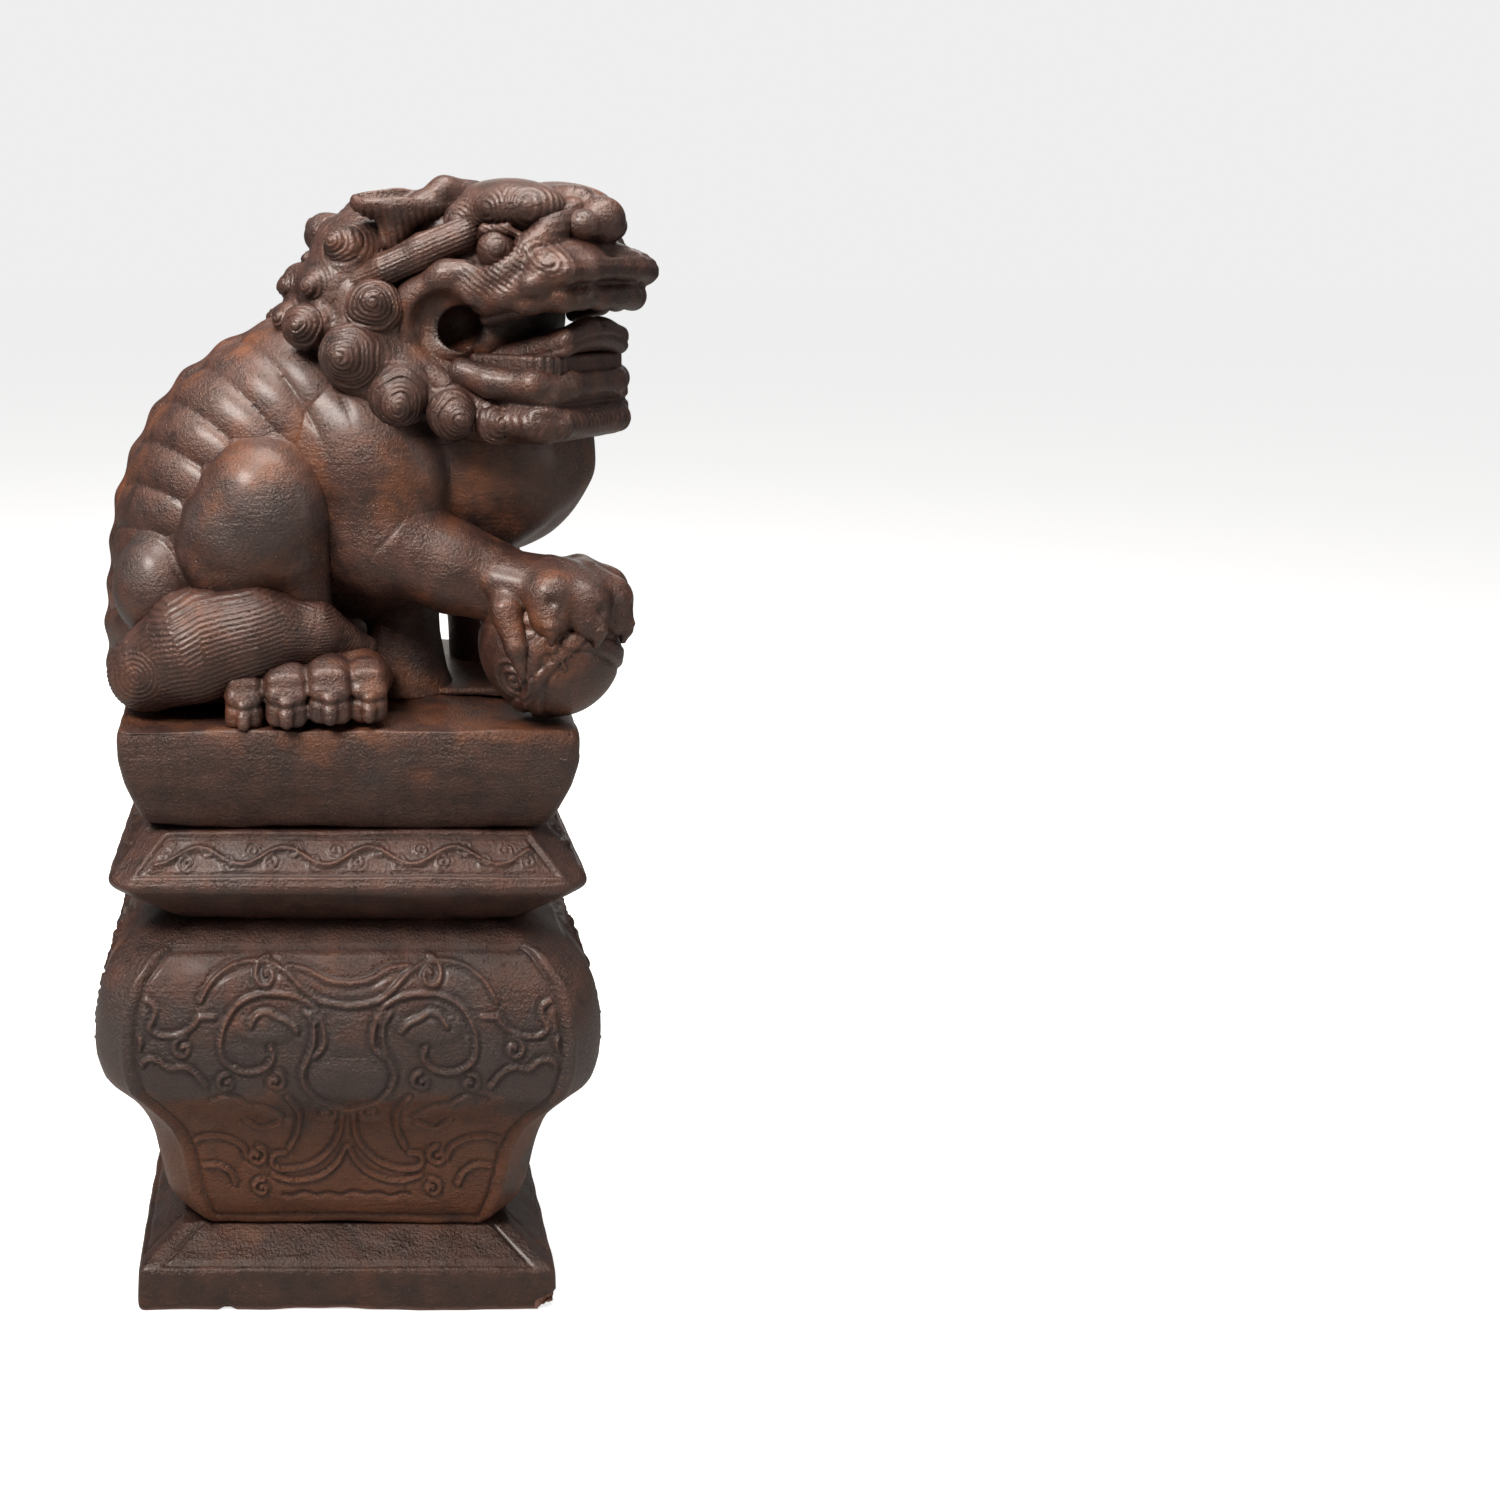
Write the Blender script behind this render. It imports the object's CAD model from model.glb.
import bpy
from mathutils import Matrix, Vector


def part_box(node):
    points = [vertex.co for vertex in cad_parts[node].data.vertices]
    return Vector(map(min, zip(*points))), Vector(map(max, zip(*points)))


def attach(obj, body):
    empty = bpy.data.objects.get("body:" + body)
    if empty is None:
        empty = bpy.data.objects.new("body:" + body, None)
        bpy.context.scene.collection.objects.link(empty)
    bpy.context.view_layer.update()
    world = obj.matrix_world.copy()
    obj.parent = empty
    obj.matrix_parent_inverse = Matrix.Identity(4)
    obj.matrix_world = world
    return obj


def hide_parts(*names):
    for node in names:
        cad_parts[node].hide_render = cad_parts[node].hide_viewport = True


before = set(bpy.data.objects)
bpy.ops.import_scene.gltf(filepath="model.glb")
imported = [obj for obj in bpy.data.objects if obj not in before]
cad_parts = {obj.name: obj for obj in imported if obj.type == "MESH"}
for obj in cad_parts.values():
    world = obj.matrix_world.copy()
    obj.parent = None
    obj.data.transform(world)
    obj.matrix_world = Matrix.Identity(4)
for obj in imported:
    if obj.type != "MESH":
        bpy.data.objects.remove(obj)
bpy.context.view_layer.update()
import bpy, math
import numpy as np
import openvdb as vdb
from mathutils import Vector, Matrix

rng = np.random.RandomState(7)
FINE = 1.0
f32 = np.float32


def mm_box(node):
    lo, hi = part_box(node)
    return np.array(lo) * 1000.0, np.array(hi) * 1000.0


# ---------------------------------------------------------------- fields (mm)
def rot(yaw=0, pitch=0, roll=0):
    y, p, r = (math.radians(v) for v in (yaw, -pitch, roll))
    rz = np.array([[math.cos(y), -math.sin(y), 0], [math.sin(y), math.cos(y), 0], [0, 0, 1]])
    ry = np.array([[math.cos(p), 0, math.sin(p)], [0, 1, 0], [-math.sin(p), 0, math.cos(p)]])
    rx = np.array([[1, 0, 0], [0, math.cos(r), -math.sin(r)], [0, math.sin(r), math.cos(r)]])
    return (rz @ ry @ rx).astype(f32)


def ell(P, c, r, m=None):
    q = P - np.array(c, f32)
    if m is not None:
        q = q @ m
    r = np.array(r, f32)
    a = q / r
    k0 = np.sqrt((a * a).sum(1)) + 1e-6
    b = a / r
    k1 = np.sqrt((b * b).sum(1)) + 1e-6
    return k0 * (k0 - 1) / k1


def seg(P, a, b, ra, rb):
    a = np.array(a, f32); b = np.array(b, f32)
    ab = b - a
    t = np.clip(((P - a) @ ab) / float(ab @ ab), 0, 1)
    q = P - a - t[:, None] * ab
    return np.sqrt((q * q).sum(1)) - (ra + (rb - ra) * t)


def smin(a, b, k):
    h = np.clip(0.5 + 0.5 * (b - a) / k, 0, 1)
    return b + (a - b) * h - k * h * (1 - h)


def smax(a, b, k):
    return -smin(-a, -b, k)


def chain(P, pts, k=6.0):
    d = None
    for (a, ra), (b, rb) in zip(pts[:-1], pts[1:]):
        s = seg(P, a, b, ra, rb)
        d = s if d is None else smin(d, s, k)
    return d


def rbox(P, c, h, r, m=None):
    q = P - np.array(c, f32)
    if m is not None:
        q = q @ m
    q = np.abs(q) - (np.array(h, f32) - r)
    return np.sqrt((np.maximum(q, 0) ** 2).sum(1)) + np.minimum(q.max(1), 0) - r


def torus(P, c, n, major, minor):
    n = np.array(n, f32); n /= np.linalg.norm(n)
    q = P - np.array(c, f32)
    h = q @ n
    pr = np.sqrt(np.maximum((q * q).sum(1) - h * h, 0))
    return np.sqrt((pr - major) ** 2 + h * h) - minor


WOB = [(rng.randn(3) * 0.022, rng.rand() * 6.28, 0.45) for _ in range(5)] + \
      [(rng.randn(3) * 0.075, rng.rand() * 6.28, 0.16) for _ in range(6)]


def wobble(P):
    """Hand-pressed unevenness, about a millimetre."""
    w = np.zeros(len(P), f32)
    for k, ph, amp in WOB:
        w += amp * np.sin(P @ k.astype(f32) + ph)
    return w


def frame_of(n):
    n = np.array(n, float); n /= np.linalg.norm(n)
    up = np.array([0, 0, 1.0]) if abs(n[2]) < 0.9 else np.array([1.0, 0, 0])
    u = np.cross(up, n); u /= np.linalg.norm(u)
    v = np.cross(n, u)
    return u.astype(f32), v.astype(f32), n.astype(f32)


def curl(P, c, n, R, H, turns=2.0, hand=1, phase=0.0, fine=3):
    """Snail curl: a leaning dome wound with combed strands."""
    u, v, w = frame_of(n)
    q = P - np.array(c, f32)
    a, b, h = q @ u, q @ v, q @ w
    lean = np.clip(h / H, 0, 1) * 0.20 * R
    a2, b2 = a + lean * math.cos(phase * 9.0), b + lean * math.sin(phase * 9.0)
    d = smin(ell(np.stack([a, b, h], 1), (0, 0, 0), (R, R, H * 0.82)), ell(np.stack([a2, b2, h], 1), (0, 0, 0.25 * H), (R * 0.62, R * 0.62, H * 0.95)), 0.22 * R)
    rho = np.sqrt(a2 * a2 + b2 * b2) + 1.2 * np.sin(a * 0.16 + phase * 5) + 0.9 * np.sin(b * 0.21 + phase * 11)
    th = np.arctan2(b2, a2)
    f = rho / (R / turns) - hand * th / (2 * math.pi) + phase
    fr = f - np.floor(f)
    edge = np.abs(2 * fr - 1)
    front = np.clip((h + 0.35 * R) / (0.3 * R), 0.15, 1)
    g = rho / 4.3 - hand * th / (2 * math.pi) + phase
    comb = 0.5 + 0.5 * np.cos(2 * math.pi * g)
    mid = np.clip(rho / 4.0, 0, 1)
    return d + (1.5 * edge ** 6 + 1.15 * comb ** 1.5) * front * mid


def mesh_of(name, f, lo, hi, h):
    """Closed quad mesh of the zero level of f inside the box."""
    h = h * FINE
    B = 4
    H = B * h
    lo = np.array(lo, float) - 2 * H
    hi = np.array(hi, float) + 2 * H
    n = np.ceil((hi - lo) / H).astype(int)
    ax = [lo[i] + (np.arange(n[i]) + 0.5) * H for i in range(3)]
    C = np.stack(np.meshgrid(*ax, indexing="ij"), -1).reshape(-1, 3).astype(f32)
    d = np.concatenate([f(C[i:i + 200000]) for i in range(0, len(C), 200000)])
    d3 = d.reshape(n)
    dense = np.repeat(np.repeat(np.repeat(np.clip(d3, -H, H), B, 0), B, 1), B, 2).astype(f32)
    idx = np.argwhere(np.abs(d3) < 1.25 * H + 3.0)
    off = (np.stack(np.meshgrid(*[np.arange(B)] * 3, indexing="ij"), -1).reshape(1, -1, 3) + 0.5) * h
    view = dense.reshape(n[0], B, n[1], B, n[2], B)
    for i in range(0, len(idx), 4000):
        sub = idx[i:i + 4000]
        pts = (lo + sub[:, None, :] * H + off).reshape(-1, 3).astype(f32)
        vals = np.clip(f(pts), -H, H).reshape(-1, B, B, B)
        view[sub[:, 0], :, sub[:, 1], :, sub[:, 2], :] = vals
    grid = vdb.FloatGrid(float(H))
    grid.copyFromArray(dense)
    pts, quads = grid.convertToQuads(0.0)
    pts = lo + (pts.astype(float) + 0.5) * h
    a, b, c = pts[quads[:, 0]], pts[quads[:, 1]], pts[quads[:, 2]]
    e = pts[quads[:, 3]]
    vol = (np.cross(a, b) * c).sum() + (np.cross(a, c) * e).sum()
    if vol < 0:
        quads = quads[:, ::-1]
    print("PIECE", name, len(pts), "verts", len(quads) * 2, "tris", flush=True)
    return make_object(name, pts, quads)


def make_object(name, pts, quads):
    me = bpy.data.meshes.new(name)
    me.vertices.add(len(pts))
    me.vertices.foreach_set("co", (pts / 1000.0).astype(f32).ravel())
    me.loops.add(len(quads) * 4)
    me.loops.foreach_set("vertex_index", quads.astype(np.int32).ravel())
    me.polygons.add(len(quads))
    me.polygons.foreach_set("loop_start", (np.arange(len(quads)) * 4).astype(np.int32))
    me.polygons.foreach_set("loop_total", np.full(len(quads), 4, np.int32))
    me.polygons.foreach_set("use_smooth", np.ones(len(quads), bool))
    me.update(calc_edges=True)
    me.validate()
    ob = bpy.data.objects.new(name, me)
    bpy.context.scene.collection.objects.link(ob)
    return ob


# ---------------------------------------------------------------- finishes
def glaze(name, rust=0.5, blue=0.5, zones=(), streak=1.0, gloss=0.0, clay_rim=False, tone=1.0, mouth=False, pits=1.0):
    m = bpy.data.materials.new(name)
    m.use_nodes = True
    nt = m.node_tree
    N, L = nt.nodes, nt.links
    bsdf = N["Principled BSDF"]
    geo = N.new("ShaderNodeNewGeometry")

    def noise(scale, detail=4, rough=0.55, vec=None, off=0.0):
        n = N.new("ShaderNodeTexNoise")
        n.inputs["Scale"].default_value = scale
        n.inputs["Detail"].default_value = detail
        n.inputs["Roughness"].default_value = rough
        mp = N.new("ShaderNodeMapping")
        mp.inputs["Location"].default_value = (off, off * 0.7, -off)
        L.new(vec or geo.outputs["Position"], mp.inputs["Vector"])
        L.new(mp.outputs[0], n.inputs["Vector"])
        return n.outputs["Fac"]

    def rng_(sock, a, b, c=0.0, d=1.0):
        r = N.new("ShaderNodeMapRange")
        r.inputs[1].default_value, r.inputs[2].default_value = a, b
        r.inputs[3].default_value, r.inputs[4].default_value = c, d
        L.new(sock, r.inputs[0])
        return r.outputs[0]

    def mth(op, a, b=None):
        q = N.new("ShaderNodeMath"); q.operation = op
        for i, v in enumerate((a, b)):
            if v is None:
                continue
            if isinstance(v, (int, float)):
                q.inputs[i].default_value = v
            else:
                L.new(v, q.inputs[i])
        return q.outputs[0]

    def mix(fac, ca, cb, kind="MIX"):
        q = N.new("ShaderNodeMix"); q.data_type = "RGBA"; q.blend_type = kind
        for sock, v in ((q.inputs[0], fac), (q.inputs[6], ca), (q.inputs[7], cb)):
            if isinstance(v, (int, float)):
                sock.default_value = v
            elif isinstance(v, tuple):
                sock.default_value = tuple(x * tone for x in v) + (1.0,) if kind == "MIX" else v + (1.0,)
            else:
                L.new(v, sock)
        return q.outputs[2]

    dark, brown, orange, slate, clay = (0.020, 0.0100, 0.0085), (0.056, 0.0235, 0.0165), (0.112, 0.038, 0.0150), (0.024, 0.0205, 0.0210), (0.27, 0.135, 0.095)
    n_big, n_mid, n_fine = noise(12, 7, 0.6), noise(42, 7, 0.66, off=3.1), noise(190, 3, off=1.7)
    col = mix(rng_(n_mid, 0.36, 0.66), dark, brown)
    rust_m = mth("MULTIPLY", rng_(n_big, 0.66 - 0.22 * rust, 0.80 - 0.18 * rust), rng_(n_mid, 0.30, 0.62, 0.25, 1.0))
    blue_m = mth("MULTIPLY", rng_(noise(9, 6, off=8.3), 0.66 - 0.22 * blue, 0.78 - 0.18 * blue), 0.75)
    sep = N.new("ShaderNodeSeparateXYZ"); L.new(geo.outputs["Position"], sep.inputs[0])
    wav = mth("ADD", sep.outputs[2], rng_(noise(16, 6, 0.6, off=5.0), 0.3, 0.7, -0.040, 0.040))
    for z0, z1, kind, amt in zones:
        e = 0.012
        band = mth("MULTIPLY", rng_(wav, z0 - e, z0 + e), rng_(wav, z1 - e, z1 + e, 1.0, 0.0))
        band = mth("MULTIPLY", band, amt)
        if kind == "rust":
            rust_m = mth("MAXIMUM", rust_m, mth("MULTIPLY", band, rng_(n_mid, 0.25, 0.6, 0.45, 1.0)))
        else:
            blue_m = mth("MAXIMUM", blue_m, mth("MULTIPLY", band, rng_(n_big, 0.35, 0.55, 0.5, 1.0)))
    col = mix(rust_m, col, orange)
    col = mix(blue_m, col, slate)
    point = geo.outputs["Pointiness"]
    col = mix(mth("MULTIPLY", rng_(point, 0.53, 0.60), rng_(n_mid, 0.35, 0.6, 0.15, 0.75)), col, (0.150, 0.066, 0.040))
    col = mix(rng_(point, 0.490, 0.44, 0.0, 0.85), col, (0.009, 0.0065, 0.0075))
    fleck = mth("MULTIPLY", rng_(noise(420, 2, off=2.2), 0.66, 0.72, 0.0, 0.6), rng_(noise(26, 3, off=7.7), 0.48, 0.6))
    col = mix(fleck, col, (0.22, 0.115, 0.062))
    if clay_rim:
        rim = mth("MULTIPLY", rng_(mth("ADD", sep.outputs[2], rng_(n_mid, 0.3, 0.7, -0.002, 0.002)), 0.0025, 0.0060, 1.0, 0.0), rng_(n_mid, 0.3, 0.55, 0.2, 0.8))
        dx = mth("SUBTRACT", sep.outputs[0], 0.206)
        dy = mth("ADD", sep.outputs[1], 0.150)
        r2 = mth("ADD", mth("ADD", mth("MULTIPLY", dx, dx), mth("MULTIPLY", dy, dy)), mth("MULTIPLY", sep.outputs[2], sep.outputs[2]))
        chip = rng_(mth("ADD", r2, rng_(noise(60, 3), 0.3, 0.7, -0.0001, 0.0001)), 0.00030, 0.00036, 1.0, 0.0)
        col = mix(mth("MAXIMUM", rim, chip), col, clay)
    if mouth:
        for (mx, my, mz), rad in MOUTH_DARK:
            mp = N.new("ShaderNodeMapping"); mp.vector_type = "TEXTURE"
            mp.inputs["Location"].default_value = (mx / 1000, my / 1000, mz / 1000)
            mp.inputs["Rotation"].default_value = (0, 0, math.radians(-42.0))
            mp.inputs["Scale"].default_value = tuple(r / 1000 for r in rad)
            L.new(geo.outputs["Position"], mp.inputs["Vector"])
            ln = N.new("ShaderNodeVectorMath"); ln.operation = "LENGTH"
            L.new(mp.outputs[0], ln.inputs[0])
            col = mix(rng_(ln.outputs["Value"], 0.85, 1.1, 0.93, 0.0), col, (0.0045, 0.0035, 0.0038))
    L.new(col, bsdf.inputs["Base Color"])
    rough = mth("ADD", rng_(n_mid, 0.3, 0.7, 0.27 - gloss, 0.46 - gloss), mth("MULTIPLY", n_fine, 0.12))
    rough = mth("ADD", rough, mth("MULTIPLY", rng_(point, 0.49, 0.44), 0.2))
    L.new(rough, bsdf.inputs["Roughness"])
    bsdf.inputs["Coat Weight"].default_value = 0.22
    bsdf.inputs["Coat Roughness"].default_value = 0.26
    bsdf.inputs["Specular IOR Level"].default_value = 0.55
    bsdf.inputs["Specular Tint"].default_value = (1.0, 0.80, 0.71, 1)
    # bump: orange peel, brushed slip lines, pits
    st = N.new("ShaderNodeMapping"); st.inputs["Scale"].default_value = (0.10, 0.10, 1.0)
    L.new(geo.outputs["Position"], st.inputs["Vector"])
    lines = noise(210, 3, 0.6, vec=st.outputs[0])
    vor = N.new("ShaderNodeTexVoronoi"); vor.inputs["Scale"].default_value = 150
    L.new(geo.outputs["Position"], vor.inputs["Vector"])
    pit = mth("MULTIPLY", rng_(vor.outputs["Distance"], 0.10, 0.20, -1.0, 0.0), rng_(noise(30, 2, off=6.6), 0.5, 0.6))
    ht = mth("ADD", mth("MULTIPLY", noise(330, 4, 0.6, off=4.4), 0.70 * pits), mth("MULTIPLY", lines, 0.55 * streak))
    ht = mth("ADD", ht, mth("MULTIPLY", pit, 0.60 * pits))
    ht = mth("ADD", ht, mth("MULTIPLY", noise(70, 4, 0.6, off=9.0), 0.55))
    bp = N.new("ShaderNodeBump")
    bp.inputs["Strength"].default_value = 0.80
    bp.inputs["Distance"].default_value = 0.0030
    L.new(ht, bp.inputs["Height"])
    L.new(bp.outputs[0], bsdf.inputs["Normal"])
    return m


def _hd(a, w, z):
    c, s_ = math.cos(math.radians(-42.0)), math.sin(math.radians(-42.0))
    return (259.0 + a * c - w * s_, -130.0 + a * s_ + w * c, z)


MOUTH_DARK = [(_hd(-62, 0, 984), (58, 80, 26)), (_hd(-118, -82, 982), (31, 31, 27)), (_hd(-118, 82, 982), (31, 31, 27))]
M_BODYP = glaze("glaze_pedestal_body", 0.35, 0.35, zones=((0.215, 0.318, "blue", 0.80), (0.05, 0.232, "rust", 0.85)), pits=1.6)
M_FOOT = glaze("glaze_foot", 0.52, 0.18, clay_rim=True, tone=0.72)
M_WAIST = glaze("glaze_waist", 0.45, 0.35)
M_BLOCK = glaze("glaze_block", 0.32, 0.38, zones=((0.585, 0.62, "rust", 0.75),), pits=1.9)
M_LION = glaze("glaze_lion", 0.62, 0.30, streak=0.5, gloss=0.03, tone=1.1)
M_HAUNCH = glaze("glaze_haunch", 0.62, 0.75, streak=0.5, tone=1.1)
M_HEAD = glaze("glaze_head", 0.50, 0.22, streak=0.35, gloss=0.05, tone=1.1, mouth=True)
M_FACE = glaze("glaze_face", 0.50, 0.22, streak=0.35, gloss=0.05, tone=1.1)
M_MANE = glaze("glaze_mane", 0.45, 0.30, streak=0.2, tone=1.05)
M_COLLAR = glaze("glaze_mane_collar", 0.45, 0.30, streak=0.2, tone=1.05, mouth=True)
M_MOUTH = glaze("glaze_mouth", 0.45, 0.35, streak=0.2, tone=0.95)


def put(ob, mat, *nodes):
    ob.data.materials.clear()
    ob.data.materials.append(mat)
    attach(ob, "root")
    if nodes:
        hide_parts(*nodes)
    return ob


# ---------------------------------------------------------------- pedestal
DIFF = 56.0


def smooth1(a, s, wrap=False):
    r = max(1, int(math.ceil(3 * s)))
    k = np.exp(-0.5 * (np.arange(-r, r + 1) / s) ** 2); k /= k.sum()
    mode = "wrap" if wrap else "edge"
    p = np.pad(a, r, mode=mode)
    return np.convolve(p, k, mode="valid")


def ring(name, prof, cham, nf, nb, ns, nc, step, rnd, relief=None, row_round=1.2, wob=1.0):
    """Tier skin: rows up the profile, columns round four faces and four cut corners, closed above and below."""
    prof = np.array(prof, float)
    s = np.r_[0, np.cumsum(np.hypot(*np.diff(prof, axis=0).T))]
    t = np.arange(0, s[-1], step * FINE)
    hw, z = np.interp(t, s, prof[:, 0]), np.interp(t, s, prof[:, 1])
    hw, z = smooth1(hw, row_round), smooth1(z, row_round)
    t_in = np.array([4, 10, 20, 36, 60, 90, 120, 999.0])
    bot = [(max(hw[0] - q, 57.5), z[0]) for q in t_in[::-1]]
    top = [(max(hw[-1] - q, 57.5), z[-1]) for q in t_in]
    hw = np.r_[[b[0] for b in bot], hw, [b[0] for b in top]]
    z = np.r_[[b[1] for b in bot], z, [b[1] for b in top]]
    nf, nb, ns = (int(v / FINE) for v in (nf, nb, ns))
    counts = [nf, nc, ns, nc, nb, nc, ns, nc]
    rows = []
    ids = np.repeat(np.arange(8), counts)
    fr = np.concatenate([np.arange(c) / c for c in counts])
    for w, zz in zip(hw, z):
        c = min(cham, (w - DIFF) * 0.8)
        d = w - DIFF
        v = np.array([(-w + c, -d), (w - c, -d), (w, -d + c), (w, d - c), (w - c, d), (-w + c, d), (-w, d - c), (-w, -d + c)])
        a, b = v[ids], v[(ids + 1) % 8]
        rows.append(np.c_[a + (b - a) * fr[:, None], np.full(len(ids), zz)])
    G = np.array(rows)
    for k in (0, 1):
        for i in range(len(G)):
            G[i, :, k] = smooth1(G[i, :, k], rnd, wrap=True)
    du = np.roll(G, -1, 1) - np.roll(G, 1, 1)
    dv = np.gradient(G, axis=0)
    nrm = np.cross(du, dv)
    ln = np.linalg.norm(nrm, axis=2, keepdims=True)
    nrm = nrm / np.maximum(ln, 1e-6)
    flatP = G.reshape(-1, 3).astype(f32)
    disp = wobble(flatP) * wob
    if relief is not None:
        disp = disp + relief(flatP, nrm.reshape(-1, 3))
    G = G + nrm * disp.reshape(G.shape[:2])[:, :, None]
    R, Cn = G.shape[:2]
    i, j = np.meshgrid(np.arange(R - 1), np.arange(Cn), indexing="ij")
    a = i * Cn + j
    b = i * Cn + (j + 1) % Cn
    quads = np.stack([a, b, b + Cn, a + Cn], -1).reshape(-1, 4)
    pts = G.reshape(-1, 3)
    # close the last slot above and below with a strip of quads
    half = nf // 2

    def strip(row, flip):
        out = []
        base = row * Cn
        left = [(-k - 1) % Cn for k in range((Cn - nf) // 2)]
        fwd = list(range(0, Cn // 2))
        rev = [(Cn - 1 - k) for k in range(Cn // 2)]
        for k in range(Cn // 2 - 1):
            q = [base + fwd[k], base + fwd[k + 1], base + rev[k + 1], base + rev[k]]
            out.append(q[::-1] if flip else q)
        return out

    extra = strip(0, True) + strip(R - 1, False)
    quads = np.vstack([quads, np.array(extra)])
    print("PIECE", name, len(pts), "verts", len(quads) * 2, "tris", flush=True)
    return make_object(name, pts, quads)


def seg_dist(u, v, strokes, cell=0):
    """Least distance from each (u, v) to a set of polylines."""
    best = np.full(len(u), 1e9, f32)
    for st in strokes:
        st = np.array(st, f32)
        lo, hi = st.min(0) - 12, st.max(0) + 12
        m = (u > lo[0]) & (u < hi[0]) & (v > lo[1]) & (v < hi[1])
        if not m.any():
            continue
        uu, vv = u[m], v[m]
        b = np.full(len(uu), 1e9, f32)
        for (x0, y0), (x1, y1) in zip(st[:-1], st[1:]):
            dx, dy = x1 - x0, y1 - y0
            t = np.clip(((uu - x0) * dx + (vv - y0) * dy) / (dx * dx + dy * dy + 1e-9), 0, 1)
            b = np.minimum(b, np.hypot(uu - x0 - t * dx, vv - y0 - t * dy))
        best[m] = np.minimum(best[m], b)
    return best


def smooth_line(pts, n=6):
    """Catmull-Rom through the points."""
    p = np.array(pts, float)
    p = np.vstack([2 * p[0] - p[1], p, 2 * p[-1] - p[-2]])
    out = []
    for i in range(1, len(p) - 2):
        for t in np.linspace(0, 1, n, endpoint=False):
            a, b, c, d = p[i - 1:i + 3]
            out.append(0.5 * ((2 * b) + (c - a) * t + (2 * a - 5 * b + 4 * c - d) * t * t + (3 * b - a - 3 * c + d) * t ** 3))
    out.append(p[-2])
    return np.array(out)


def spiral(cx, cy, r, turns=1.6, start=0.0, hand=1, n=26):
    t = np.linspace(0, 1, n)
    rr = r * (1 - t) ** 0.8 + 0.6
    a = math.radians(start) + hand * t * turns * 2 * math.pi
    return np.c_[cx + rr * np.cos(a), cy + rr * np.sin(a)]


# front panel drawing, millimetres: u across from the middle, v height
S = 0.3257


BODY = [(168, 64), (178.5, 80), (186.5, 103), (192, 132), (197, 156), (208, 184), (228, 214), (243, 235), (250, 262),
        (251.5, 290), (249, 318), (241, 344), (224, 364), (205, 376), (188, 384.5)]
BZ = [z for _, z in BODY]
BH = [h for h, _ in BODY]
ZT = np.linspace(64, 378, 400)
ST = (1694.0 - (np.interp(ZT, BZ, BH) - DIFF)) / 1540.0
VT = 268 + (1044 - ZT) / ST


def pz(x, y):
    z = float(np.interp(900 + y / 3.0, VT[::-1], ZT[::-1]))
    return ((x - 745) / 3.0 * float(np.interp(z, ZT, ST)), z)


half_strokes = [
    [(300, 305), (335, 245), (395, 197), (460, 182), (520, 190), (565, 220), (605, 262), (650, 298), (700, 312), (745, 318)],
    [(560, 196), (620, 206), (680, 240), (745, 252)],
    [(640, 318), (605, 297), (545, 281), (475, 284), (420, 308), (384, 352), (362, 410), (366, 470), (398, 506), (445, 518), (495, 505), (520, 470), (512, 440)],
    [(618, 338), (640, 372), (640, 430), (622, 480), (606, 520), (622, 566), (668, 604), (745, 628)],
    [(660, 350), (672, 400), (668, 440), (640, 470)],
    [(450, 375), (470, 345), (500, 335), (530, 350), (565, 365), (590, 392)],
    [(72, 330), (95, 303), (135, 300), (165, 325), (158, 362), (148, 385), (175, 408), (220, 410), (262, 392), (292, 362)],
    [(295, 352), (345, 350)],
    [(120, 500), (140, 478), (175, 482), (205, 505), (250, 500), (285, 520), (320, 560)],
    [(282, 762), (284, 728), (325, 710), (385, 714), (430, 738), (446, 772)],
    [(300, 800), (350, 790), (392, 812), (412, 850)],
    [(728, 648), (722, 700), (700, 745), (655, 785), (595, 806), (540, 806), (518, 785), (530, 762), (560, 758)],
    [(742, 740), (712, 795), (655, 832), (585, 842), (525, 826)],
    [(562, 590), (598, 636), (596, 690), (572, 742)],
    [(440, 612), (490, 618), (545, 648)],
    [(440, 662), (485, 682), (540, 664)],
    [(340, 600), (395, 590), (440, 612)],
]
half_spirals = [(500, 222, 32, 1), (95, 435, 24, -1), (248, 446, 26, 1), (380, 548, 24, 1), (525, 542, 24, -1), (472, 766, 27, -1), (490, 862, 23, 1), (682, 636, 24, -1), (645, 352, 14, 1)]
STROKES = []
for st in half_strokes:
    a = smooth_line([pz(*p) for p in st], 4)
    STROKES += [a, a * [-1, 1]]
for x, y, r, hnd in half_spirals:
    cx, cy = pz(x, y)
    a = spiral(cx, cy, r * S * 1.2, 1.2, 80, hnd)
    STROKES += [a, a * [-1, 1]]
DOMES = [(500, 385, 95, 42, 2.6), (330, 430, 60, 105, 1.6), (745, 545, 108, 70, 3.0), (220, 470, 80, 50, 1.4), (110, 370, 42, 60, 1.5),
         (560, 700, 60, 60, 1.3), (360, 770, 70, 50, 1.4), (745, 400, 70, 60, 1.4), (560, 250, 90, 34, 1.6)]


WAVE_Z = pz(745, 884)[1]


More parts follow.
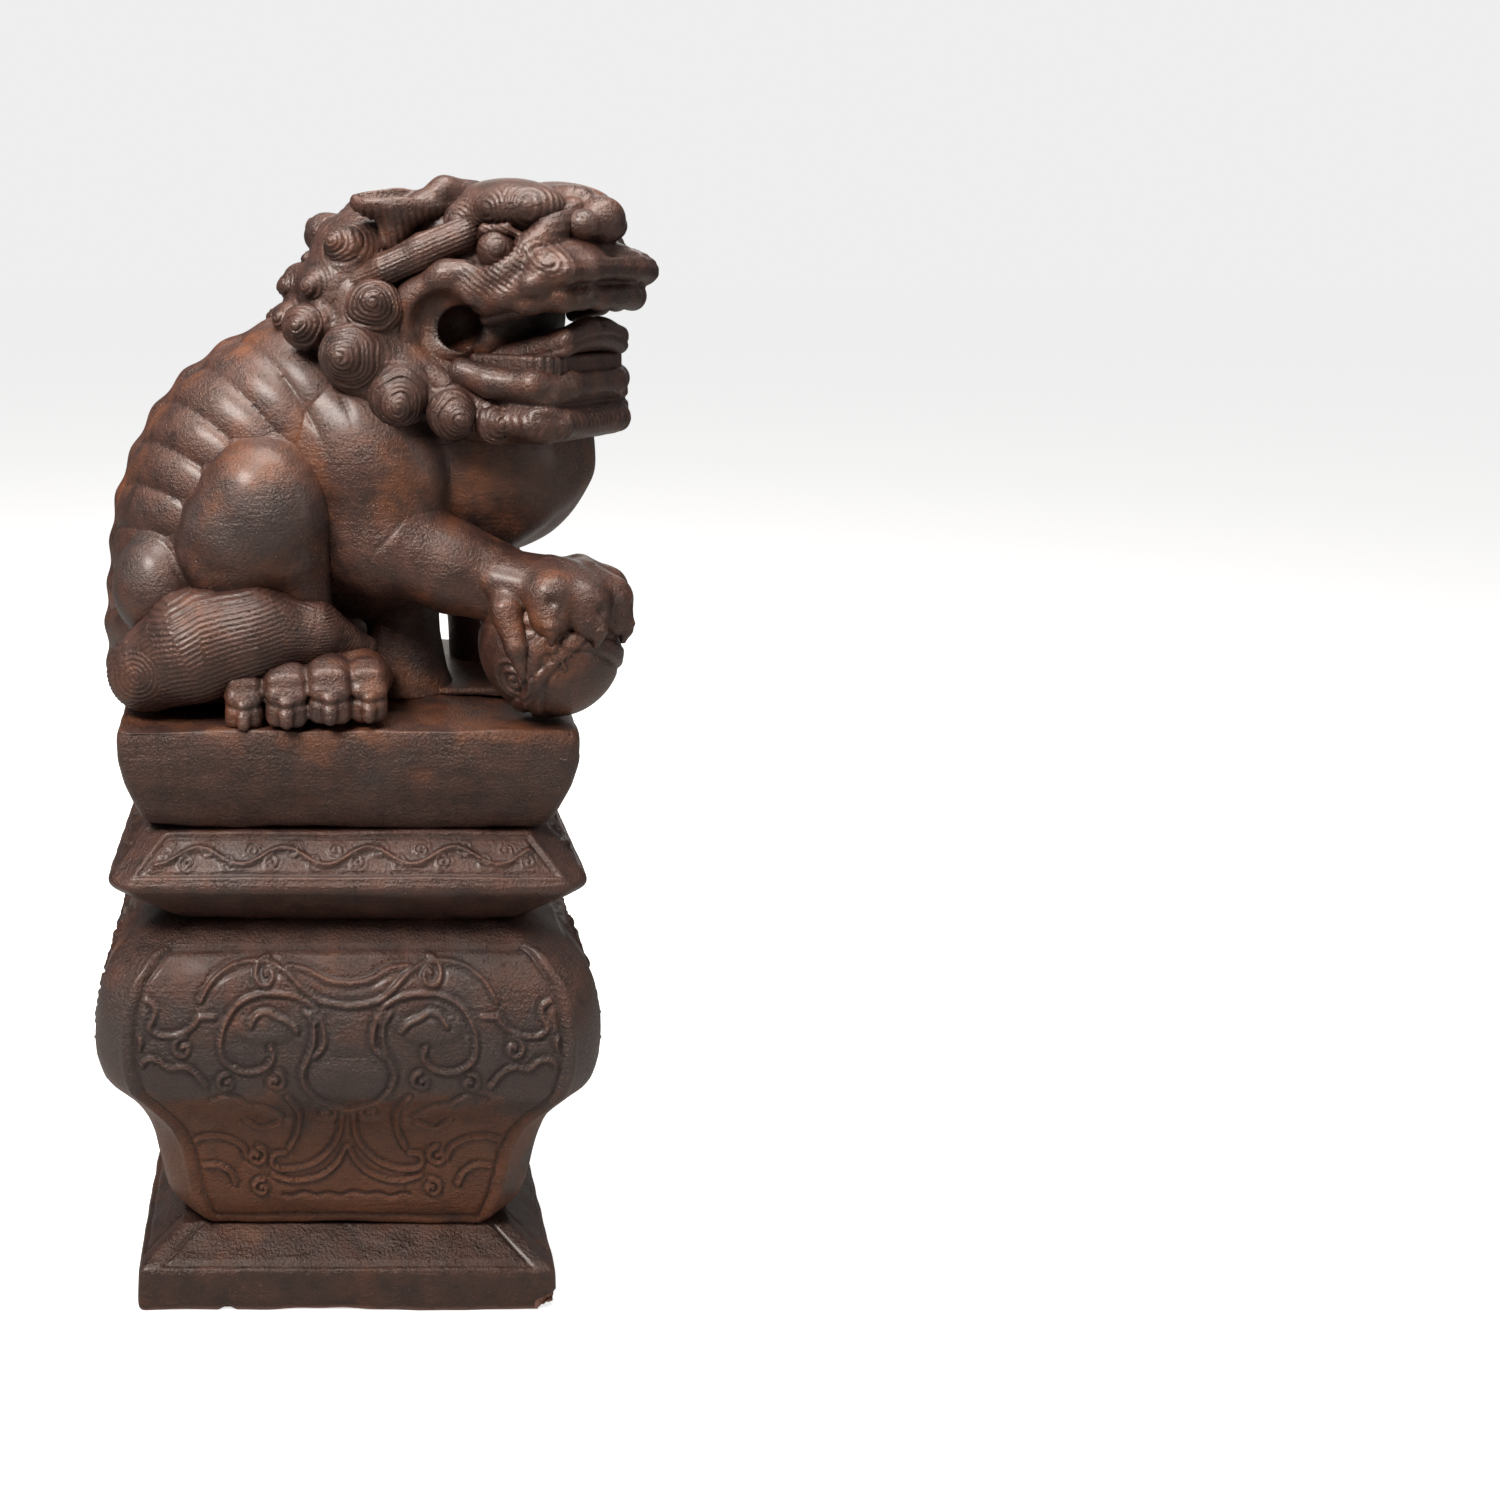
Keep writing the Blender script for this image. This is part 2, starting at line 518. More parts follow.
def panel_relief(P, n):
    disp = np.zeros(len(P), f32)
    for sgn, axis in ((-1, 1), (1, 1), (-1, 0), (1, 0)):
        m = n[:, axis] * sgn > 0.55
        if not m.any():
            continue
        u = P[m, 1 - axis] * (1.0 if axis == 1 else 1.26)
        v = P[m, 2]
        hw = np.interp(v, BZ, BH) - 28.0
        lim = hw if axis == 1 else (hw - DIFF) * 1.26
        inner = lim - 15
        fr = np.minimum(inner - np.abs(u), np.minimum(v - 76, 368 - v))
        border = -2.6 * np.exp(-(fr / 2.6) ** 2) + 1.5 * np.exp(-((fr + 7) / 3.4) ** 2)
        fade = np.clip(fr / 6, 0, 1)
        d = seg_dist(u, v, STROKES)
        ridge = 2.9 * np.exp(-(d / 1.9) ** 2) - 1.7 * np.exp(-((d - 4.4) / 1.9) ** 2)
        dome = np.zeros(len(u), f32)
        for x, y, rx, ry, hh in DOMES:
            cx, cy = pz(x, y)
            for q in (-1, 1):
                if q == 1 and abs(cx) < 1:
                    continue
                k = ((u - q * cx) / (rx * S)) ** 2 + ((v - cy) / (ry * S)) ** 2
                dome = np.maximum(dome, hh * np.clip(1.25 - k, 0, 1) ** 0.5)
        wave = -3.2 * np.exp(-((v - (WAVE_Z + 1.5 * np.sin(u / 4.0) + 0.8 * np.sin(u / 9.0))) / 2.4) ** 2) * np.clip((68 - np.abs(u)) / 5, 0, 1)
        disp[m] = border + (ridge + dome + wave) * fade
    # raised ridges along the cut corners
    cr = np.abs(P[:, 0]) + np.abs(P[:, 1])
    hwz = np.interp(P[:, 2], BZ, BH)
    for off in (5.0, -2.0):
        pass
    edge_f = hwz - 28.0 - np.abs(P[:, 0])
    side = np.abs(n[:, 1]) > 0.5
    disp = disp + np.where(side & (P[:, 2] > 75) & (P[:, 2] < 372), 2.0 * np.exp(-((edge_f - 3.5) / 3.0) ** 2), 0)
    return disp.astype(f32)


bprof = smooth_line(BODY, 8)
put(ring("pedestal_body_skin", bprof, 28, 238, 70, 80, 9, 2.15, 2.4, panel_relief, 2.0), M_BODYP, "pedestal_body")


def waist_relief(P, n):
    disp = np.zeros(len(P), f32)
    for sgn, axis in ((-1, 1), (1, 1), (-1, 0), (1, 0)):
        m = (n[:, axis] * sgn > 0.3) & (P[:, 2] > 441.5)
        if not m.any():
            continue
        u = P[m, 1 - axis]
        v = (P[m, 2] - 441) / 37.0
        hw = 237 - 33 * v - (0 if axis == 1 else DIFF)
        e = np.minimum((hw - 24 - np.abs(u)) * 0.75, np.minimum(v * 50 - 4, (1 - v) * 50 - 3))
        disp[m] += -1.9 * np.exp(-((e - 3) / 1.9) ** 2) + 1.2 * np.exp(-((e + 1.5) / 2.2) ** 2)
        vv = (P[m, 2] - 459.5) * 1.35
        fade = np.clip((e - 5) / 4, 0, 1)
        w = np.abs(vv - 8.5 * np.sin(u / 13.5)) * 0.8
        rl = 4.4 * np.exp(-(w / 2.4) ** 2)
        w2 = np.abs(vv + 5.0 * np.sin(u / 13.5 + 0.9) + 2.0 * np.sin(u / 6.1)) * 0.9
        rl = np.maximum(rl, 1.1 * np.exp(-(w2 / 1.9) ** 2) * np.clip(np.sin(u / 21.0), 0, 1))
        k = np.round(u / 42.4) * 42.4
        for dxx, dyy, hnd in ((10, -6, 1), (-11, 6, -1)):
            a, b = u - k - dxx, vv - dyy
            rr = np.hypot(a, b)
            sp = np.cos(2 * math.pi * (rr / 4.8) - hnd * np.arctan2(b, a))
            rl = np.maximum(rl, 3.8 * np.clip(sp, 0, 1) * np.clip((10 - rr) / 2.5, 0, 1))
        disp[m] += (rl - 0.5) * fade
    return disp


WAIST = [(190, 385.5), (196, 390), (199, 392), (237.5, 428), (240, 432), (240, 437), (237, 441), (204, 478), (201, 480.5)]
put(ring("waist_moulding_skin", WAIST, 22, 230, 110, 90, 10, 1.7, 2.0, waist_relief, 1.6), M_WAIST, "waist_moulding")

BLOCK = [(198, 481.5), (203, 483), (209, 490), (216, 506), (225, 528), (231, 553), (232.5, 574), (231.5, 584), (227, 589.2)]


def block_relief(P, n):
    edge = 1.6 * np.sin(P[:, 0] / 23.0 + 1.0) * np.sin(P[:, 1] / 31.0 + 0.4)
    return np.where(P[:, 2] > 560, edge * 0.8, edge * 0.4).astype(f32)


put(ring("plinth_block_skin", BLOCK, 8, 150, 100, 90, 5, 3.0, 2.2, block_relief, 1.2, 1.2), M_BLOCK, "plinth_block", "setting_pins")

FOOTP = [(208, 0.8), (209.5, 3), (209.5, 38), (207.5, 41.5), (170, 62.5), (166, 64.5)]


def foot_relief(P, n):
    disp = np.zeros(len(P), f32)
    for sgn, axis in ((-1, 1), (1, 1), (-1, 0), (1, 0)):
        m = (n[:, axis] * sgn > 0.2) & (P[:, 2] > 42) & (P[:, 2] < 63)
        u = P[m, 1 - axis]
        v = (P[m, 2] - 40) / 24.0
        hw = 209.5 - 41.5 * v - (0 if axis == 1 else DIFF)
        e = np.minimum((hw - 20 - np.abs(u)), np.minimum(v * 46 - 6, (1 - v) * 46 + 8))
        disp[m] += -1.8 * np.exp(-(e / 2.2) ** 2)
    q = P - np.array([209, -153, 2], f32)
    r = np.sqrt((q * q).sum(1)) + 2.0 * np.sin(P[:, 2] * 0.9) * np.cos(P[:, 0] * 0.7)
    disp -= np.clip(19 - r, 0, 9) * 0.8
    r2 = np.sqrt(((P - np.array([-120, -153, 0], f32)) ** 2).sum(1))
    disp -= np.clip(9 - r2, 0, 5) * 0.5
    return disp


put(ring("foot_skin", FOOTP, 3, 190, 90, 80, 4, 2.0, 1.6, foot_relief, 1.2), M_FOOT, "foot")

# ---------------------------------------------------------------- lion
TOP = 589.0
bat = lambda P: rbox(P, (-5, 54, TOP + 3.2), (206, 108, 4.5), 3.0) + wobble(P) * 0.9
put(mesh_of("figure_bat_skin", bat, (-215, -60, 580), (205, 168, 600), 2.6), M_BLOCK, "figure_bat")

FAN = (39.4, 0.0, 634.8)
RIB = np.array([(202, 66, 304, 98), (184, 62, 295, 105), (165, 61, 303, 110), (148, 62, 333, 112), (130, 65, 360, 112),
                (108, 71, 371, 110), (82, 81, 358, 107), (60, 90, 340, 101), (45, 112, 318, 88), (36, 140, 285, 70)])[::-1]
DEG = np.arange(20, 230.0)
TAB = [smooth1(np.interp(DEG, RIB[:, 0], RIB[:, k]), 4.0) for k in (1, 2, 3)]


def torso(P, detail=True):
    x, y, z = P[:, 0] - FAN[0], P[:, 1], P[:, 2] - FAN[2]
    phi = np.degrees(np.arctan2(z, x))
    phi = np.where(phi < -80, phi + 360, phi)
    rho = np.hypot(x, z)
    rin, rout, b = (np.interp(phi, DEG, t) for t in TAB)
    a, m = (rout - rin) / 2, (rout + rin) / 2
    q1, q2 = (rho - m) / a, y / b
    k0 = np.sqrt(q1 * q1 + q2 * q2) + 1e-5
    k1 = np.sqrt((q1 / a) ** 2 + (q2 / b) ** 2) + 1e-5
    d = k0 * (k0 - 1) / k1
    d = smax(d, (40 - phi) * 4.0, 14)
    d = smin(d, ell(P, (162.6, 0.0, 848.2), (112, 98, 114)), 24)
    d = smin(d, ell(P, (30.6, 0.0, 722.8), (92, 82, 62)), 30)
    if detail:
        t = np.arctan2(np.abs(q2), q1)
        win = np.clip((phi - 84) / 14, 0, 1) * np.clip((186 - phi) / 10, 0, 1) * np.clip((t - 0.10) / 0.12, 0, 1) * np.clip((1.75 - t) / 0.5, 0, 1)
        s = np.abs(np.sin(math.pi * (phi / 8.3 + t * 0.9)))
        d = d - (6.0 * s ** 0.5 - 4.3) * win
        sp = np.clip((phi - 84) / 10, 0, 1) * np.clip((196 - phi) / 10, 0, 1)
        back = np.clip(q1, 0, 1)
        ridge = np.exp(-(y / 9.0) ** 2) * (3.5 + 2.0 * np.cos(phi * math.pi / 4.2)) - 2.4 * np.exp(-((np.abs(y) - 17) / 4.0) ** 2)
        d = d - ridge * sp * back
        d = d + wobble(P)
    return smax(d, (TOP + 3) - P[:, 2], 3).astype(f32)


def on(base, limb, k, sink=0.7):
    """A limb flowing into the body it grows from."""
    def f(P):
        l = limb(P)
        b = base(P, False)
        return np.maximum(smax(np.maximum(smin(l, b + sink, k), l - k * 0.9), (TOP + 2) - P[:, 2], 2), -(b + 14))
    return f


put(mesh_of("torso_skin", torso, (-285, -130, 585), (300, 130, 1040), 2.75), M_LION, "torso")


def mir(p):
    return (p[0], -p[1], p[2])


def haunch(side):
    def f(P):
        Q = P if side < 0 else P * np.array([1, -1, 1], f32)
        d = ell(Q, (-85.3, -94.0, 790.5), (72, 64, 80))
        d = smin(d, ell(Q, (-118.9, -88.0, 752.0), (58, 56, 66), rot(0, 20, 0)), 22)
        d = smin(d, ell(Q, (-196.1, -66.0, 709.9), (50, 54, 58)), 7)
        d = smin(d, chain(Q, [((-56.2, -94.0, 742.7), 41), ((-41.7, -80.0, 673.0), 27)]), 14)
        cr = chain(Q, [((-175.5, -132.0, 768.1), 0.1), ((-142.0, -146.0, 735.4), 0.1), ((-103.2, -160.0, 733.2), 0.1), ((-111.0, -164.0, 765.8), 0.1)], 1)
        d = d + 5.0 * np.exp(-(cr / 7.0) ** 2)
        return d + wobble(P)
    return f


for side, s in (("right", -1), ("left", 1)):
    ylo, yhi = (-175, -20) if s < 0 else (20, 175)
    put(mesh_of(side + "_haunch_skin", on(torso, haunch(s), 6), (-265, ylo, 585), (60, yhi, 870), 2.2), M_HAUNCH, side + "_haunch")


def hind_paw(s):
    def f(P):
        Q = P if s < 0 else P * np.array([1, -1, 1], f32)
        d = ell(Q, (-38, -108, 622), (86, 36, 38))
        for i, (x, yy, top, r) in enumerate(((-104, -142, 620, 23), (-62, -150, 625, 25), (-19, -150, 629, 25), (20, -142, 628, 22))):
            toe = chain(Q, [((x * 0.92, -112, top + 2), r), ((x, yy + 4, top), r)], 6)
            toe = smin(toe, rbox(Q, (x, yy - 6, top + 5), (r * 0.80, 15, 14), 9, rot(0, 0, 16)), 7)
            toe = smin(toe, rbox(Q, (x + 1, yy - 14, top - 16), (r * 0.84, 14, 20), 10), 7)
            toe = smin(toe, chain(Q, [((x + 1, yy - 24, top - 14), r * 0.42), ((x + 1, yy - 31, top - 27), r * 0.30)], 2), 3.5)
            toe = toe + 2.2 * np.exp(-((Q[:, 2] - (top - 6) - (Q[:, 1] - yy) * 0.25) / 2.8) ** 2) * np.clip((yy + 6 - Q[:, 1]) / 8, 0, 1)
            d = smin(d, toe, 5.5)
        return smax(d + wobble(P) * 0.7, 587.0 - P[:, 2] + np.where(Q[:, 1] < -172, -14, 0), 2)
    return f


for side, s in (("right", -1), ("left", 1)):
    ylo, yhi = (-192, -66) if s < 0 else (66, 192)
    put(mesh_of(side + "_hind_paw_skin", hind_paw(s), (-140, ylo, 572), (60, yhi, 668), 1.6), M_LION, side + "_hind_paw")

# near foreleg, laid over the ball
BL, BH_ = mm_box("ball")
BC = (BL + BH_) / 2
BC[2] = BH_[2] - 75.0
BR = 75.0


def upper_arm_r(P):
    d = ell(P, (35.8, -80.0, 834.4), (74, 60, 86), rot(0, 24, 0))
    d = smin(d, ell(P, (41.9, -84.0, 759.6), (62, 54, 62)), 22)
    seam = chain(P, [((25.8, -122.0, 883.7), 0.1), ((5.2, -128.0, 846.7), 0.1), ((51.7, -132.0, 810.7), 0.1)], 1)
    d = d + 2.2 * np.exp(-(seam / 2.6) ** 2)
    return d + wobble(P)


def forearm_r(P):
    d = chain(P, [((58.2, -92.0, 755.8), 52), ((106.8, -106.0, 736.7), 46), ((163.1, -118.0, 718.6), 40)], 8)
    fold = np.exp(-((P[:, 0] - 40 + (P[:, 2] - 770) * -0.9) / 3.2) ** 2)
    d = d + 2.6 * fold
    return d + wobble(P)


def on_arm(P):
    """Shoulder: runs softly into the back, stands crisply off the chest."""
    k = (5 + 34 * np.clip((72 - P[:, 0] + 0.35 * (P[:, 2] - 830)) / 46, 0, 1)).astype(f32)
    l, b = upper_arm_r(P), torso(P)
    return np.maximum(smin(l, b + 0.7, k), l - k * 0.5)


put(mesh_of("right_upper_arm_skin", on_arm, (-40, -158, 640), (140, 0, 950), 2.0), M_LION, "right_upper_arm")


def forearm_full(P):
    l = forearm_r(P)
    u = upper_arm_r(P)
    return np.maximum(smin(l, u + 0.7, 8), l - 7)


put(mesh_of("right_forearm_skin", forearm_full, (-10, -180, 640), (210, -40, 820), 1.9), M_LION, "right_forearm")


def ball_f(P):
    q = P - BC.astype(f32)
    r = np.sqrt((q * q).sum(1))
    n = q / np.maximum(r, 1e-3)[:, None]
    d = r - BR + 2.2
    # knotted ribbons: raised bands with grooved edges
    for axv, w, ph in (((0.35, 0.25, 0.9), 10, 0.1), ((-0.75, 0.3, 0.55), 9, -0.25), ((0.6, -0.55, -0.3), 10, 0.35)):
        a = np.array(axv, f32); a /= np.linalg.norm(a)
        h = np.abs((n @ a - ph) * BR + 5 * np.sin(3 * np.arctan2(n[:, 0], n[:, 2])))
        d = d - 2.2 * np.clip((w - h) / 4.0, 0, 1) + 1.2 * np.exp(-((h - w - 1.5) / 2.2) ** 2)
    c = np.array([-0.62, -0.72, -0.35], f32); c /= np.linalg.norm(c)
    u, v, w_ = frame_of(c)
    a_, b_ = (n @ u) * BR, (n @ v) * BR
    rr = np.hypot(a_, b_)
    sp = np.cos(2 * math.pi * rr / 9.5 - np.arctan2(b_, a_))
    d = d - 1.8 * sp * np.clip((27 - rr) / 5, 0, 1) * ((n @ c) > 0)
    return smax(d + wobble(P) * 0.6, (TOP - 1) - P[:, 2] + np.where((P[:, 0] > 231) | (P[:, 1] < -176), -18, 0), 3)


put(mesh_of("ball_skin", ball_f, BC - 80, BC + 80, 1.7), M_LION, "ball")


def on_ball(pol, az, r):
    p, a = math.radians(pol), math.radians(az)
    return (BC[0] + r * math.sin(p) * math.cos(a), BC[1] + r * math.sin(p) * math.sin(a), BC[2] + r * math.cos(p))


def forepaw_r(P):
    d = ell(P, (BC[0] - 30, BC[1] - 2, BC[2] + 60), (58, 48, 32), rot(-6, -18, 0))
    d = smin(d, ell(P, (BC[0] + 8, BC[1] - 16, BC[2] + 62), (56, 56, 28), rot(-6, -6, 0)), 14)
    toes = ((-98, 42, 62, 70), (-62, 48, 66, 74), (-26, 50, 67, 76), (12, 48, 64, 72))
    for az, p0, p1, p2 in toes:
        toe = chain(P, [(on_ball(p0 - 24, az, BR + 4), 19), (on_ball(p0, az, BR + 3), 25), (on_ball(p1 - 6, az, BR - 2), 22)], 6)
        toe = smin(toe, ell(P, on_ball(p0 - 2, az, BR + 14), (15, 15, 11)), 4)
        pb = np.sqrt(((P - np.array(on_ball(p0 + 12, az, BR + 24), f32)) ** 2).sum(1))
        toe = smax(toe, -(pb - 4.5), 5)
        d = smin(d, toe, 7.0)
        d = smin(d, chain(P, [(on_ball(p1 + 4, az, BR + 7), 11), (on_ball(p2 - 2, az, BR + 6), 8), (on_ball(p2 + 6, az, BR + 1), 4.0)], 3), 3)
    dew = chain(P, [(on_ball(34, 196, BR + 6), 19), (on_ball(58, 222, BR + 5), 16), (on_ball(82, 236, BR + 2), 11), (on_ball(102, 240, BR - 1), 5)], 4)
    d = smin(d, dew, 4)
    return d + wobble(P) * 0.7


put(mesh_of("right_forepaw_skin", forepaw_r, BC + [-110, -100, -10], BC + [104, 100, 108], 1.6), M_LION, "right_forepaw")


def upper_arm_l(P):
    return smin(ell(P, (76.6, 66.0, 830.3), (70, 58, 84)), chain(P, [((111.4, 72.0, 812.4), 56), ((149.0, 80.0, 742.2), 50)]), 20) + wobble(P)


put(mesh_of("left_upper_arm_skin", on(torso, upper_arm_l, 14), (-10, 0, 640), (220, 150, 950), 2.4), M_LION, "left_upper_arm")


def foreleg_l(P):
    d = chain(P, [((151.7, 84.0, 758.8), 50), ((163.9, 90.0, 671.0), 44), ((171.3, 94.0, 588.9), 46)], 8)
    u = upper_arm_l(P)
    return smax(np.maximum(smin(d, u + 0.7, 8), d - 7) + wobble(P) * 0.6, TOP - 1 - P[:, 2], 2)


put(mesh_of("left_foreleg_skin", foreleg_l, (80, 25, 585), (225, 165, 860), 2.3), M_LION, "left_foreleg")


def forepaw_l(P):
    cx = (182.7, 92.0, 612.6)[0] + 8
    d = ell(P, (cx, 95, 608), (44, 58, 27))
    for i in range(4):
        y = 95 + (i - 1.5) * 30
        toe = chain(P, [((cx + 12, 95 + (i - 1.5) * 27, 615), 16), ((cx + 38, y, 612), 16), ((cx + 48, y, 600), 12)], 4)
        toe = toe + 1.5 * np.exp(-(np.abs(P[:, 0] - cx - 32) / 2.6) ** 2)
        d = smin(d, toe, 3)
        d = smin(d, chain(P, [((cx + 54, y, 603), 7), ((cx + 62, y, 592), 3)], 2), 1.6)
    return smax(d + wobble(P) * 0.6, TOP - 1 - P[:, 2], 2)


put(mesh_of("left_forepaw_skin", forepaw_l, (90, 25, 585), (250, 165, 650), 2.0), M_LION, "left_forepaw")


def strut(P):
    d = chain(P, [((63.1, -8.0, 713.4), 46), ((65.1, -12.0, 665.0), 37), ((67.1, -14.0, 603.3), 46)], 8)
    d = smin(d, ell(P, (65.0, -14.0, 572.7), (62, 58, 40)), 14)
    b = torso(P, False)
    return smax(np.maximum(smin(d, b + 0.7, 14), d - 12) + wobble(P) * 0.8, TOP - 1 - P[:, 2], 2)


put(mesh_of("belly_strut_skin", strut, (5, -75, 585), (125, 55, 745), 2.3), M_BLOCK, "belly_strut")

# tail: combed lock
TAILP = [((-201.9, -112.0, 633.1), 44), ((-154.0, -120.0, 658.7), 56), ((-96.8, -120.0, 672.0), 50), ((-35.5, -110.0, 667.5), 33), ((20.6, -96.0, 649.7), 12)]


def tail(P):
    best = None
    for i, ((a, ra), (b, rb)) in enumerate(zip(TAILP[:-1], TAILP[1:])):
        a_, b_ = np.array(a, f32), np.array(b, f32)
        ab = b_ - a_
        t = np.clip(((P - a_) @ ab) / float(ab @ ab), 0, 1)
        q = P - a_ - t[:, None] * ab
        L_ = np.sqrt((q * q).sum(1))
        r = ra + (rb - ra) * t
        d = L_ - r
        side = np.array([-ab[2], 0, ab[0]], f32); side /= np.linalg.norm(side)
        v = (q @ side) / np.maximum(r, 4)
        if best is None:
            best, vn, along = d, v, t + i
        else:
            take = d < best
            vn = np.where(take, v, vn)
            along = np.where(take, t + i, along)
            best = smin(best, d, 12)
    sx = P[:, 0] - (-212.0, -150.0, 634.9)[0]
    sz = P[:, 2] - (-212.0, -150.0, 634.9)[2]
    rr = np.hypot(sx, sz)
    ph_line = vn * 10.5 + 0.25 * np.sin(along * 2.2)
    ph_spir = rr / 5.0 - np.arctan2(sz, sx) / (2 * math.pi)
    w = np.clip((30 - rr) / 6, 0, 1)
    g = (1 - w) * (0.5 + 0.5 * np.cos(2 * math.pi * ph_line)) + w * (0.5 + 0.5 * np.cos(2 * math.pi * ph_spir))
    d = best + 1.5 * g ** 1.5 * np.clip((3.9 - along) / 0.4, 0.2, 1)
    return smax(d + wobble(P) * 0.8, TOP - 1 - P[:, 2], 3)


put(mesh_of("tail_skin", tail, (-260, -180, 585), (45, -55, 712), 1.55), M_MANE, "tail")

# ---------------------------------------------------------------- head
YAW = -42.0
C_, S_ = math.cos(math.radians(YAW)), math.sin(math.radians(YAW))
NX, NY = 259.0, -130.0


def head(a, w, z):
    return (NX + a * C_ - w * S_, NY + a * S_ + w * C_, z)


def loc(P):
    """Row frame to head frame: ahead of the nose, to the left, height."""
    dx, dy = P[:, 0] - NX, P[:, 1] - NY
    return np.stack([dx * C_ + dy * S_, -dx * S_ + dy * C_, P[:, 2]], 1).astype(f32)


def to_head(p):
    return loc(np.array([p], f32))[0]


def face_mirror(p):
    q = to_head(p)
    return head(q[0], -q[1], q[2])


def sym(P):
    Q = loc(P)
    Q[:, 1] = np.abs(Q[:, 1])
    return Q


def head_boxed(lo, hi):
    """Row-frame box round a head-frame box."""
    c = np.array([head(a, w, z) for a in (lo[0], hi[0]) for w in (lo[1], hi[1]) for z in (lo[2], hi[2])])
    return c.min(0), c.max(0)


def head_shell(P):
    Q = sym(P)
    d = ell(Q, (-150, 0, 1050), (90, 92, 82))
    d = smin(d, ell(Q, (-118, 0, 1096), (58, 60, 38)), 22)
    d = smin(d, ell(Q, (-56, 0, 1056), (62, 82, 36)), 16)
    d = smin(d, seg(Q, (-112, 0, 1106), (-36, 0, 1110), 27, 21), 14)
    d = smin(d, ell(Q, (-140, 66, 990), (50, 46, 62)), 20)
    d = smin(d, ell(Q, (-120, 0, 995), (60, 76, 66)), 20)
    # pads and upper lip
    d = smin(d, ell(Q, (-160, 56, 1086), (36, 36, 30)), 16)
    d = smin(d, ell(Q, (-14, 70, 1044), (28, 30, 21)), 12)
    d = smin(d, ell(Q, (-6, 34, 1048), (25, 34, 20)), 14)
    lip = chain(Q, [((11, 0, 1044), 12), ((12, 44, 1044), 13), ((5, 76, 1041), 13), ((-22, 91, 1028), 13), ((-54, 94, 1016), 14), ((-88, 94, 1010), 14)], 8)
    d = smin(d, lip, 5)
    # long fold from the wing of the nose to the cheek
    fold = chain(Q, [((-22, 18, 1102), 15), ((-28, 46, 1086), 17), ((-36, 72, 1062), 17), ((-56, 90, 1038), 18), ((-92, 95, 1020), 20)], 10)
    d = smin(d, fold, 6)
    d = smin(d, ell(Q, (-98, 88, 1016), (30, 22, 25)), 8)
    # crescent round the corner of the mouth
    cres = chain(Q, [((-84, 94, 1042), 12), ((-120, 104, 1035), 17), ((-154, 108, 1012), 20), ((-170, 106, 978), 21), ((-158, 104, 944), 20), ((-122, 98, 922), 16)], 10)
    d = smin(d, cres, 6)
    # socket
    d = smax(d, -ell(Q, (-74, 92, 1063), (28, 24, 22)), 4)
    up = chain(Q, [((-102, 74, 1070), 4), ((-86, 84, 1083), 5), ((-62, 80, 1084), 5), ((-44, 68, 1074), 4)], 5)
    dn = chain(Q, [((-102, 76, 1054), 4), ((-86, 86, 1042), 5), ((-64, 84, 1043), 5), ((-44, 70, 1058), 4)], 5)
    d = smin(d, np.minimum(up, dn), 4)
    # mouth
    tilt = rot(0, 9, 0)
    cav = rbox(Q, (-20, 0, 972), (104, 88, 42), 20, tilt)
    throat = ell(Q, (-102, 0, 975), (60, 66, 52))
    d = smax(d, -smax(cav, -throat, 6), 6)
    d = smax(d, -rbox(Q, (-14, 0, 880), (94, 150, 74), 14), 6)
    d = smax(d, -ell(Q, (-116, 118, 985), (34, 22, 34)), 8)
    d = smax(d, -seg(Q, (-86, 116, 982), (-128, 70, 982), 25, 22), 3)
    wv = Q.copy(); wv[:, 2] += 1.8 * np.sin(Q[:, 1] / 8.0) + 1.2 * np.sin(Q[:, 0] / 7.0)
    lip2 = chain(wv, [((3, 0, 1017), 14), ((3, 42, 1017), 14), ((-7, 70, 1015), 14), ((-34, 85, 1011), 13), ((-64, 90, 1009), 12), ((-84, 92, 1008), 11)], 8)
    d = smin(d, lip2, 4)
    # wrinkles over the fold and the whorl on the pad
    wr = np.sin(2 * math.pi * (Q[:, 2] * 0.16 + Q[:, 0] * 0.10 + 0.25 * np.sin(Q[:, 1] * 0.1)))
    d = d + 0.8 * wr * np.clip((-24 - Q[:, 0]) / 14, 0, 1) * np.clip((Q[:, 0] + 100) / 14, 0, 1) * np.clip((Q[:, 1] - 40) / 14, 0, 1) * np.clip((1100 - Q[:, 2]) / 10, 0, 1) * np.clip((Q[:, 2] - 1014) / 8, 0, 1)
    a_, b_ = ((Q[:, 1] - 84) * 0.7 - (Q[:, 0] + 14) * 0.7) * 0.75, Q[:, 2] - 1051 + 0.25 * Q[:, 0]
    rr = np.hypot(a_, b_)
    sp = np.cos(2 * math.pi * rr / 5.6 - np.arctan2(b_, a_))
    d = d - 0.75 * sp * np.clip((25 - rr) / 12, 0, 1)
    ln = np.cos(2 * math.pi * (Q[:, 2] - 0.25 * Q[:, 0]) / 9.0)
    d = d + 0.7 * (0.5 + 0.5 * ln) * np.clip((Q[:, 0] + 30) / 16, 0, 1) * np.clip((Q[:, 2] - 1036) / 6, 0, 1)
    return (d + wobble(P) * 0.7).astype(f32)


lo, hi = head_boxed((-250, -140, 890), (50, 140, 1150))
put(mesh_of("head_shell_skin", head_shell, lo, hi, 1.95), M_HEAD, "head_shell")


